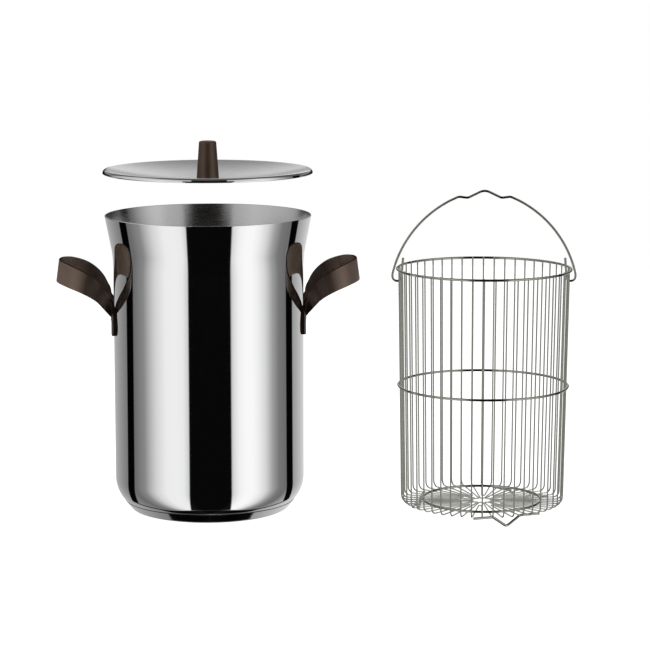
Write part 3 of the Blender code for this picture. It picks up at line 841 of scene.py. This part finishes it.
# Basket rings: three hoops of round stainless wire, drawn, bent and butt-welded. Two hold the
# # uprights from outside, and the small one lies on the floor wires, which are painted paler as
# painted light.
RING_WIRE_R = 1.05 * MM
UPRIGHT_WIRE_R = 0.62 * MM
WELD_SINK = 0.12 * MM       # how far two welded wires sink into each other
RING_STEPS = 144
GROUPS = 12
UPRIGHTS = 4 * GROUPS
GROUP_PHASE = 83            # degrees, of the first group's middle
WALL_TAPER = 3.2 * MM
UPRIGHT_BEND_R = 5.0 * MM
FLOOR_RING_INSET = 18.5 * MM
FOOT_WIRE_R = 1.15 * MM
FOOT_DROP = 7.85 * MM
# Painted light on the floor wires: paler, less metallic and rougher than the rest.
FLOOR_WIRE_PAINTED_LIGHT_COLOUR = "F4F4EC"
FLOOR_WIRE_PAINTED_LIGHT_METALLIC = 0.65
FLOOR_WIRE_PAINTED_LIGHT_ROUGHNESS = 0.42

top_low, top_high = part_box("basket_top_ring")
middle_low, middle_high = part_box("basket_middle_ring")
basket_x = (top_low.x + top_high.x) / 2
basket_y = (top_low.y + top_high.y) / 2
top_ring_r = (top_high.x - top_low.x) / 2 - RING_WIRE_R
top_ring_z = (top_low.z + top_high.z) / 2
middle_ring_z = (middle_low.z + middle_high.z) / 2
weld_step = RING_WIRE_R + UPRIGHT_WIRE_R - WELD_SINK
upright_top_r = top_ring_r - weld_step
upright_foot_r = upright_top_r - WALL_TAPER
chord_z = FOOT_WIRE_R + FOOT_DROP
basket_floor_z = chord_z + FOOT_WIRE_R + UPRIGHT_WIRE_R - WELD_SINK
wire_top_z = top_ring_z + RING_WIRE_R
middle_share = (middle_ring_z - basket_floor_z) / (wire_top_z - basket_floor_z)
middle_r = upright_foot_r + WALL_TAPER * middle_share


def drawn_wire(name, colour):
    """Drawn stainless wire, electropolished after welding: a soft warm-grey gloss, with the
    wires of the floor painted paler and duller: painted light."""
    material, tree, shader = surface(name)
    place = tree.nodes.new("ShaderNodeTexCoord").outputs["Object"]
    clouds = add_node(tree, "TexNoise", {"Vector": place, "Scale": 140.0, "Detail": 3.0})
    ramp = tree.nodes.new("ShaderNodeValToRGB")
    tree.links.new(clouds, ramp.inputs["Fac"])
    low, high = ramp.color_ramp.elements
    low.position = 0.3
    low.color = [0.92 * part for part in linear(colour)[:3]] + [1]
    high.position = 0.7
    high.color = linear(colour)
    split = tree.nodes.new("ShaderNodeSeparateXYZ")
    tree.links.new(place, split.inputs[0])
    floor_band = (basket_floor_z - UPRIGHT_WIRE_R, basket_floor_z + UPRIGHT_WIRE_R)
    # painted light: the wires at floor level are painted paler, less metallic and duller
    painted_light_band = between(tree, split.outputs["Z"], *floor_band, 0.15 * MM)
    blend = {"Factor": painted_light_band, "A": ramp.outputs["Color"], "B": linear(FLOOR_WIRE_PAINTED_LIGHT_COLOUR)}
    pale = add_node(tree, "Mix", blend, data_type="RGBA")
    tree.links.new(pale, shader.inputs["Base Color"])
    painted_light_metallic = add_node(tree, "MapRange", {0: painted_light_band, 3: 1.0, 4: FLOOR_WIRE_PAINTED_LIGHT_METALLIC})
    tree.links.new(painted_light_metallic, shader.inputs["Metallic"])
    grain = add_node(tree, "TexNoise", {"Vector": place, "Scale": 500.0, "Detail": 1.0})
    spread = add_node(tree, "MapRange", {0: grain, 1: 0.3, 2: 0.7, 3: 0.11, 4: 0.15})
    blend = {"Factor": painted_light_band, "A": spread, "B": FLOOR_WIRE_PAINTED_LIGHT_ROUGHNESS}
    dull = add_node(tree, "Mix", blend, data_type="FLOAT")
    tree.links.new(dull, shader.inputs["Roughness"])
    return material


def wire(name, path, radius, closed=False):
    """Round wire along a path of points."""
    curve = bpy.data.curves.new(name, "CURVE")
    curve.dimensions = "3D"
    spline = curve.splines.new("POLY")
    spline.points.add(len(path) - 1)
    for spot, point in zip(spline.points, path):
        spot.co = (*point, 1)
    spline.use_cyclic_u = closed
    curve.bevel_depth = radius
    curve.bevel_resolution = 4
    curve.use_fill_caps = not closed
    return curve


def in_basket(point, turn=0.0):
    """A point in the basket's own frame, turned about its axis by some degrees, in the set's."""
    turned_point = Matrix.Rotation(math.radians(turn), 3, "Z") @ Vector(point)
    return turned_point + Vector((basket_x, basket_y, 0))


def add_wire(name, curve, body, *nodes):
    """A finished piece of the basket. The polished pieces don't mirror it."""
    piece = add_piece(name, curve, [wire_steel], body, "steel_wire", *nodes)
    piece.visible_glossy = False
    return piece


wire_steel = drawn_wire("drawn_steel_wire", "B1B2A6")
floor_ring_r = upright_foot_r - FLOOR_RING_INSET
rings = (
    ("top_hoop", top_ring_r, top_ring_z, "basket_top_ring"),
    ("middle_hoop", middle_r + weld_step, middle_ring_z, "basket_middle_ring"),
    ("floor_hoop", floor_ring_r, basket_floor_z + weld_step, "basket_floor_ring"),
)
for name, radius, height, ring_node in rings:
    angles = [math.tau * step / RING_STEPS for step in range(RING_STEPS)]
    path = [in_basket((radius * math.cos(a), radius * math.sin(a), height)) for a in angles]
    add_wire(name, wire(name, path, RING_WIRE_R, closed=True), "basket", ring_node)


# Uprights and floor: thin wires, each bent once from the wall to the floor, round near the
# middle, back out and up the wall again. A long and a short one nest in each twelfth.
LONG_VERTEX_R = 8 * MM
SHORT_VERTEX_R = 19.5 * MM


def rounded(corners, radii, steps):
    """A path through the corners, with an arc of its own radius at each inner one."""
    path = [corners[0]]
    for before, corner, after, radius in zip(corners, corners[1:], corners[2:], radii):
        to_before = (before - corner).normalized()
        to_after = (after - corner).normalized()
        half = to_before.angle(to_after) / 2
        centre = corner + (to_before + to_after).normalized() * radius / math.sin(half)
        start = corner + to_before * radius / math.tan(half) - centre
        sweep = math.pi - 2 * half
        axis = to_after.cross(to_before)
        for step in range(steps + 1):
            path.append(centre + Matrix.Rotation(sweep * step / steps, 3, axis) @ start)
    return path + [corners[-1]]


def upright_path(half_angle, vertex_r):
    """One wire: down the wall, along the floor, back at its vertex and up again."""
    sides = []
    for angle in (-half_angle, half_angle):
        out = Vector((math.cos(angle), math.sin(angle), 0))
        top = out * upright_top_r + Vector((0, 0, wire_top_z))
        sides.append((top, out * upright_foot_r + Vector((0, 0, basket_floor_z))))
    vertex_bend = vertex_r * math.sin(half_angle) / (1 - math.sin(half_angle))
    corners = [*sides[0], Vector((0, 0, basket_floor_z)), *reversed(sides[1])]
    return rounded(corners, (UPRIGHT_BEND_R, vertex_bend, UPRIGHT_BEND_R), 9)


upright_step = math.radians(360 / UPRIGHTS)
for kind, half_angle, vertex_r in (
    ("long", 1.5 * upright_step, LONG_VERTEX_R),
    ("short", 0.5 * upright_step, SHORT_VERTEX_R),
):
    path = upright_path(half_angle, vertex_r)
    for group in range(GROUPS):
        turn = GROUP_PHASE + 360 * group / GROUPS
        name = f"{kind}_upright_{group + 1:02d}"
        curve = wire(name, [in_basket(point, turn) for point in path], UPRIGHT_WIRE_R)
        add_wire(name, curve, "basket", f"basket_wire_{kind}_{group + 1:02d}")


# Spot welds: where two wires cross they are pressed together and melted to a small flat bead.
WELD_R = 0.85 * MM
WELD_FLATNESS = 0.7


def weld_beads(name, places):
    """Small flattened beads, joined into one piece."""
    shape = bmesh.new()
    for place in places:
        squashed = Matrix.Translation(place) @ Matrix.Diagonal((1, 1, WELD_FLATNESS, 1))
        bmesh.ops.create_uvsphere(shape, u_segments=8, v_segments=5, radius=WELD_R, matrix=squashed)
    mesh = bpy.data.meshes.new(name)
    shape.to_mesh(mesh)
    shape.free()
    mesh.shade_smooth()
    return mesh


upright_turns = [GROUP_PHASE + 360 * (number + 0.5) / UPRIGHTS for number in range(UPRIGHTS)]
for name, radius, height in (
    ("top_hoop_welds", upright_top_r + UPRIGHT_WIRE_R, top_ring_z),
    ("middle_hoop_welds", middle_r + UPRIGHT_WIRE_R, middle_ring_z),
    ("floor_hoop_welds", floor_ring_r, basket_floor_z + UPRIGHT_WIRE_R),
):
    places = [in_basket((radius, 0, height), turn) for turn in upright_turns]
    add_wire(name, weld_beads(name, places), "basket")


# Feet: three thick wires welded under the floor. The middle of each is bent down to a V that
# the basket stands on.
FEET = 3
FOOT_INSET = 14.0 * MM
FOOT_HALF_LENGTH = 29.6 * MM
FOOT_SLOPE = 35             # degrees
FOOT_BEND_R = 3.5 * MM
FOOT_PHASE = -71.2          # degrees

slope = math.radians(FOOT_SLOPE)
tip_z = chord_z - FOOT_DROP - FOOT_BEND_R * (1 / math.cos(slope) - 1)
half_v = (chord_z - tip_z) / math.tan(slope)
corners = [
    Vector((upright_foot_r - FOOT_INSET, across, height))
    for across, height in (
        (-FOOT_HALF_LENGTH, chord_z),
        (-half_v, chord_z),
        (0, tip_z),
        (half_v, chord_z),
        (FOOT_HALF_LENGTH, chord_z),
    )
]
path = rounded(corners, (FOOT_BEND_R,) * 3, 10)
for number in range(FEET):
    name = f"foot_wire_{number + 1}"
    turn = FOOT_PHASE + 360 * number / FEET
    curve = wire(name, [in_basket(point, turn) for point in path], FOOT_WIRE_R)
    add_wire(name, curve, "basket", f"basket_foot_{number + 1}")


# Bail: the carrying wire, bent to a pointed arch with a finger bump on top. Its two ends hook
# round the top hoop, so it swings.
BAIL_WIRE_R = 1.0 * MM
ARCH_PAST_AXIS = 14 * MM
ARCH_FOOT_ANGLE = 12.9      # degrees
HOOK_R = 3.85 * MM
HOOK_DROP = 6.5 * MM
STUB_RISE = 9.3 * MM
STUB_LEAN = 1.2 * MM
GRIP_BUMP_X = 21.7 * MM
GRIP_DIP_X = 14.1 * MM
GRIP_DIP = 1.0 * MM
GRIP_APEX = 5.8 * MM
GRIP_BEND_R = 5.5 * MM
GRIP_APEX_BEND_R = 9 * MM


def bail_path():
    """The bail in its own X-Z plane, from one free end to the other."""
    hook_z = top_ring_z - HOOK_DROP
    leg_x = top_ring_r + HOOK_R
    arch_r = (leg_x + ARCH_PAST_AXIS) / math.cos(math.radians(ARCH_FOOT_ANGLE))
    arch_z = hook_z - arch_r * math.sin(math.radians(ARCH_FOOT_ANGLE)) + HOOK_R / 2
    bump_angle = math.degrees(math.acos((GRIP_BUMP_X + ARCH_PAST_AXIS) / arch_r))
    side = arc((-ARCH_PAST_AXIS, arch_z), arch_r, bump_angle, ARCH_FOOT_ANGLE, 36)
    bump_z = side[0][1]
    grip = [
        Vector((0, 0, bump_z + GRIP_APEX)),
        Vector((GRIP_DIP_X, 0, bump_z - GRIP_DIP)),
        Vector((GRIP_BUMP_X, 0, bump_z)),
        Vector((side[3][0], 0, side[3][1])),
    ]
    mirror = Matrix.Diagonal((-1, 1, 1))
    left_grip = [mirror @ point for point in reversed(grip[1:])]
    bends = (GRIP_BEND_R, GRIP_BEND_R, GRIP_APEX_BEND_R, GRIP_BEND_R, GRIP_BEND_R)
    middle = rounded(left_grip + grip, bends, 8)
    hook = arc((top_ring_r, hook_z), HOOK_R, 0, -180, 20)
    stub = (top_ring_r - HOOK_R - STUB_LEAN, top_ring_z + STUB_RISE)
    right = [Vector((x, 0, z)) for x, z in [*side[4:], *hook, stub]]
    return [mirror @ point for point in reversed(right)] + middle + right


curve = wire("carrying_bail", [in_basket(point) for point in bail_path()], BAIL_WIRE_R)
add_wire("carrying_bail", curve, "bail", "basket_bail")
